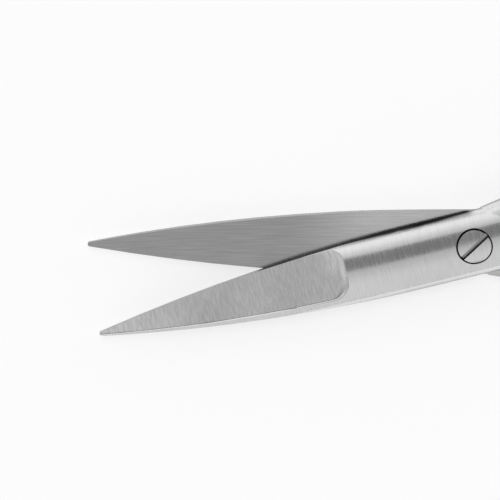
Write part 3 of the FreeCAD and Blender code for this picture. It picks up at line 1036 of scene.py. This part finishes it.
@dataclass(frozen=True)
class SmoothSkin:
    """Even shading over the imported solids: their faces join where they meet gently."""

    join_mm: float = 0.002
    crease_deg: float = 24.0

    def build(self) -> bpy.types.NodeTree:
        """Make the modifier's node tree.

        Returns:
            The geometry node tree.
        """
        tree = bpy.data.node_groups.new("smooth_skin", "GeometryNodeTree")
        for way in ("INPUT", "OUTPUT"):
            tree.interface.new_socket("Geometry", in_out=way, socket_type="NodeSocketGeometry")
        build = Tree(tree)
        entry = build.add("NodeGroupInput")
        drop = build.add("GeometryNodeRemoveAttribute")
        drop.inputs["Name"].default_value = "custom_normal"
        join = build.add("GeometryNodeMergeByDistance")
        join.inputs["Distance"].default_value = self.join_mm * MM
        angle = build.add("GeometryNodeInputMeshEdgeAngle")
        gentle = build.add("FunctionNodeCompare", operation="LESS_THAN")
        gentle.inputs["B"].default_value = math.radians(self.crease_deg)
        faces = build.add("GeometryNodeSetShadeSmooth", domain="FACE")
        edges = build.add("GeometryNodeSetShadeSmooth", domain="EDGE")
        leave = build.add("NodeGroupOutput")
        build.put(drop.inputs["Geometry"], entry.outputs[0])
        build.put(join.inputs["Geometry"], drop.outputs["Geometry"])
        build.put(faces.inputs["Geometry"], join.outputs["Geometry"])
        build.put(gentle.inputs["A"], angle.outputs["Unsigned Angle"])
        build.put(edges.inputs["Geometry"], faces.outputs["Geometry"])
        build.put(edges.inputs["Shade Smooth"], gentle.outputs[0])
        build.put(leave.inputs[0], edges.outputs["Geometry"])
        return tree


def wear(part: bpy.types.Object, material: bpy.types.Material, skin: bpy.types.NodeTree) -> None:
    """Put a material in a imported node's slots and the shading modifiers over it.

    Args:
        part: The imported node.
        material: Its finish.
        skin: The node tree of the even shading.
    """
    for slot in part.material_slots:
        slot.material = material
    modifier = part.modifiers.new("smooth_skin", "NODES")
    modifier.node_group = skin
    weighted = part.modifiers.new("even_normals", "WEIGHTED_NORMAL")
    weighted.mode = "FACE_AREA_WITH_ANGLE"
    weighted.keep_sharp = True
    log.info("%s dressed in %s", part.name, material.name)


@dataclass
class Half:
    """One half of the scissors, from the blade's tip to the finger ring."""

    node: str
    side: Side
    bore_radius_mm: float

    def dress(self, parts: Parts, shared: SharedEffects, skin: bpy.types.NodeTree) -> None:
        """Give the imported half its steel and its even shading.

        Args:
            parts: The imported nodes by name.
            shared: The node groups for lines and marks.
            skin: The node tree of the even shading.
        """
        name = f"ground_steel_{self.side.value}"
        steel = GroundSteel(name, OwnFrame(self.side), self.bore_radius_mm)
        wear(parts[self.node], steel.build(shared), skin)


@dataclass
class Screw:
    """The pivot screw, ground flush with the half that its head lies in."""

    node: str
    flush_side: Side
    head_radius_mm: float

    def dress(self, parts: Parts, shared: SharedEffects, skin: bpy.types.NodeTree) -> None:
        """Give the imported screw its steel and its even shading.

        Args:
            parts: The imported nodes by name.
            shared: The node groups for lines and marks.
            skin: The node tree of the even shading.
        """
        steel = ScrewSteel("screw_steel_flush", OwnFrame(self.flush_side), self.head_radius_mm)
        wear(parts[self.node], steel.build(shared), skin)


@dataclass(frozen=True)
class Shot:
    """Where the camera stands, worked out from the joint's place in the picture.

    The camera looks down on the scissors, tilted a little towards the far side, and is
    rolled so that the closed scissors climb to the right.
    """

    picture_px: float = 500.0
    scale_mm: float = 0.09585
    pivot_px: Span = (473.7, 242.2)
    climb_deg: float = 7.19
    tilt_deg: float = 13.0
    pivot_height_mm: float = PARTING_MM
    distance_mm: float = 500.0
    sensor_mm: float = 36.0
    clip_start_m: float = 0.01

    @property
    def right(self) -> Vector:
        """Direction of the picture's width in the row frame."""
        climb = math.radians(self.climb_deg)
        return Vector((math.cos(climb), -math.sin(climb), 0.0))

    @property
    def away(self) -> Vector:
        """Direction on the table that points up the picture."""
        climb = math.radians(self.climb_deg)
        return Vector((math.sin(climb), math.cos(climb), 0.0))

    @property
    def towards_camera(self) -> Vector:
        """Direction from the scissors to the camera."""
        tilt = math.radians(self.tilt_deg)
        return self.away * math.sin(tilt) + Vector((0, 0, math.cos(tilt)))

    def aim(self, back: Vector, place: Vector) -> Matrix:
        """Work out a placement that looks against a direction, with the picture's width level.

        Args:
            back: The direction from what is looked at to the camera or lamp.
            place: Where the camera or lamp stands, in metres.

        Returns:
            The placement.
        """
        turn = Matrix((self.right, back.cross(self.right), back)).transposed()
        return Matrix.Translation(place) @ turn.to_4x4()

    def build(self) -> None:
        """Make the camera and set it on the scene."""
        half = self.picture_px / 2
        across = (half - self.pivot_px[0]) * self.scale_mm
        up = (self.pivot_px[1] - half) * self.scale_mm / math.cos(math.radians(self.tilt_deg))
        target = self.right * across + self.away * up + Vector((0, 0, self.pivot_height_mm))
        place = target + self.towards_camera * self.distance_mm
        data = bpy.data.cameras.new("camera")
        data.sensor_width = self.sensor_mm
        data.lens = self.sensor_mm * self.distance_mm / (self.picture_px * self.scale_mm)
        data.clip_start = self.clip_start_m
        camera = bpy.data.objects.new("camera", data)
        camera.matrix_world = self.aim(self.towards_camera, place * MM)
        bpy.context.scene.collection.objects.link(camera)
        bpy.context.scene.camera = camera


@dataclass(frozen=True)
class Softbox:
    """A long lit panel beside the scissors, dimmer towards its edge over them.

    Its edge and foot are degrees from straight up, positive towards the far side. The dim
    edge has a share of the panel's light, and the fade, in shares of the width, is where it
    grows to the full light.
    """

    name: str
    edge_deg: float
    foot_deg: float
    radiance: float
    edge_share: float
    fade: Span
    slide_mm: float = 60.0
    reach_mm: float = 420.0
    length_mm: float = 2400.0

    def build(self, shot: Shot) -> None:
        """Hang the panel so that it fills its angles.

        Args:
            shot: The shot that gives the picture's directions.
        """
        up = Vector((0, 0, 1))
        angles = math.radians(self.edge_deg), math.radians(self.foot_deg)
        edge, foot = (shot.away * math.sin(turn) + up * math.cos(turn) for turn in angles)
        middle = (edge + foot) / 2
        place = middle * self.reach_mm + shot.right * self.slide_mm
        data = bpy.data.lights.new(self.name, "AREA")
        data.shape = "RECTANGLE"
        data.size = self.length_mm * MM
        data.size_y = (foot - edge).length * self.reach_mm * MM
        data.energy = self.radiance * math.pi * data.size * data.size_y
        self.fade_edge(data, edge_first=self.edge_deg < self.foot_deg)
        lamp = bpy.data.objects.new(self.name, data)
        lamp.matrix_world = shot.aim(middle.normalized(), place * MM)
        lamp.visible_camera = False
        bpy.context.scene.collection.objects.link(lamp)

    def fade_edge(self, data: bpy.types.AreaLight, edge_first: bool) -> None:
        """Dim the panel towards the edge that hangs over the scissors.

        Args:
            data: The lamp.
            edge_first: Whether the panel's second parameter starts at that edge.
        """
        data.use_nodes = True
        tree = Tree(data.node_tree)
        lit = data.node_tree.nodes["Emission"]
        place = tree.split(tree.add("ShaderNodeNewGeometry").outputs["Parametric"])[1]
        if not edge_first:
            place = tree.math("SUBTRACT", 1.0, place)
        tree.put(lit.inputs["Strength"], tree.ramp(place, *self.fade, self.edge_share, 1.0))


@dataclass(frozen=True)
class TableLamp:
    """A far, small lamp from above that the steel doesn't mirror, for the blades' shadow."""

    lean_deg: float = 22.0
    spread_deg: float = 22.0
    strength: float = 0.68

    def build(self, shot: Shot) -> None:
        """Point the lamp down from the far side.

        Args:
            shot: The shot that gives the picture's directions.
        """
        lean = math.radians(self.lean_deg)
        back = shot.away * math.sin(lean) + Vector((0, 0, math.cos(lean)))
        data = bpy.data.lights.new("table_lamp", "SUN")
        data.energy = self.strength
        data.angle = math.radians(self.spread_deg)
        lamp = bpy.data.objects.new("table_lamp", data)
        lamp.matrix_world = shot.aim(back, back)
        lamp.visible_glossy = False
        bpy.context.scene.collection.objects.link(lamp)


@dataclass(frozen=True)
class Table:
    """A white table that keeps a faint shadow.

    Its glow shows to the camera and in reflections only, so it lights nothing.
    """

    size_m: float = 4.0
    grey: float = 0.45
    glow: float = 0.6

    def build(self) -> None:
        """Stage the table under the scissors."""
        half = self.size_m / 2
        mesh = bpy.data.meshes.new("table")
        corners = [(-half, -half, 0), (half, -half, 0), (half, half, 0), (-half, half, 0)]
        mesh.from_pydata(corners, [], [(0, 1, 2, 3)])
        mesh.materials.append(self.paint())
        table = bpy.data.objects.new("table", mesh)
        bpy.context.scene.collection.objects.link(table)

    def paint(self) -> bpy.types.Material:
        """Make the table's material.

        Returns:
            The material.
        """
        material = bpy.data.materials.new("white_table")
        material.use_nodes = True
        tree = Tree(material.node_tree)
        material.node_tree.nodes.clear()
        paint = tree.add("ShaderNodeBsdfDiffuse")
        paint.inputs["Color"].default_value = (*[self.grey] * 3, 1)
        ray = tree.add("ShaderNodeLightPath")
        shown = tree.math("MAXIMUM", ray.outputs["Is Camera Ray"], ray.outputs["Is Glossy Ray"])
        shown = tree.math("MAXIMUM", shown, ray.outputs["Is Transmission Ray"])
        glow = tree.add("ShaderNodeEmission")
        tree.put(glow.inputs["Strength"], tree.math("MULTIPLY", shown, self.glow))
        both = tree.add("ShaderNodeAddShader")
        tree.put(both.inputs[0], paint.outputs[0])
        tree.put(both.inputs[1], glow.outputs[0])
        leave = tree.add("ShaderNodeOutputMaterial")
        tree.put(leave.inputs["Surface"], both.outputs[0])
        return material


@dataclass(frozen=True)
class Studio:
    """A white table in a pale room, with a softbox on the far and one on the near side."""

    ceiling: float = 0.217
    end_walls: float = 0.6
    end_walls_from: Span = (0.7, 0.9)
    softboxes: tuple[Softbox, ...] = (
        Softbox("far_softbox", 29.5, 88.0, radiance=0.78, edge_share=0.55, fade=(0.0, 0.6)),
        Softbox("near_softbox", -2.6, -88.0, radiance=0.52, edge_share=0.7, fade=(0.1, 0.4)),
    )

    def build(self, shot: Shot) -> None:
        """Set up the room, the table and the lamps.

        Args:
            shot: The shot that gives the picture's directions.
        """
        self.build_room(shot)
        Table().build()
        for softbox in self.softboxes:
            softbox.build(shot)
        TableLamp().build(shot)

    def build_room(self, shot: Shot) -> None:
        """Make a dim room with pale walls at the two ends of the scissors.

        Args:
            shot: The shot that gives the picture's directions.
        """
        world = bpy.data.worlds.new("studio_room")
        bpy.context.scene.world = world
        world.use_nodes = True
        tree = Tree(world.node_tree)
        room = world.node_tree.nodes["Background"]
        heading = tree.add("ShaderNodeTexCoord").outputs["Generated"]
        along = tree.math("ABSOLUTE", tree.vector("DOT_PRODUCT", heading, shot.right))
        shade = tree.ramp(along, *self.end_walls_from, self.ceiling, self.end_walls)
        tree.put(room.inputs["Color"], tree.grey(shade))
        room.inputs["Strength"].default_value = 1.0


def main() -> None:
    """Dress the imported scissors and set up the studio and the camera."""
    logging.basicConfig(level=logging.INFO, format="%(name)s: %(message)s")
    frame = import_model()
    bpy.context.scene.view_settings.view_transform = "Standard"
    shared = SharedEffects.build()
    skin = SmoothSkin().build()
    assemblies = (
        Half("upper_half", Side.UPPER, HEAD_RADIUS_MM + HEAD_GAP_MM),
        Half("lower_half", Side.LOWER, THREAD_BORE_RADIUS_MM),
        Screw("pivot_screw", Side.UPPER, HEAD_RADIUS_MM),
    )
    for assembly in assemblies:
        assembly.dress(frame["nodes"], shared, skin)
    shot = Shot()
    shot.build()
    Studio().build(shot)


if __name__ == "__main__":
    main()
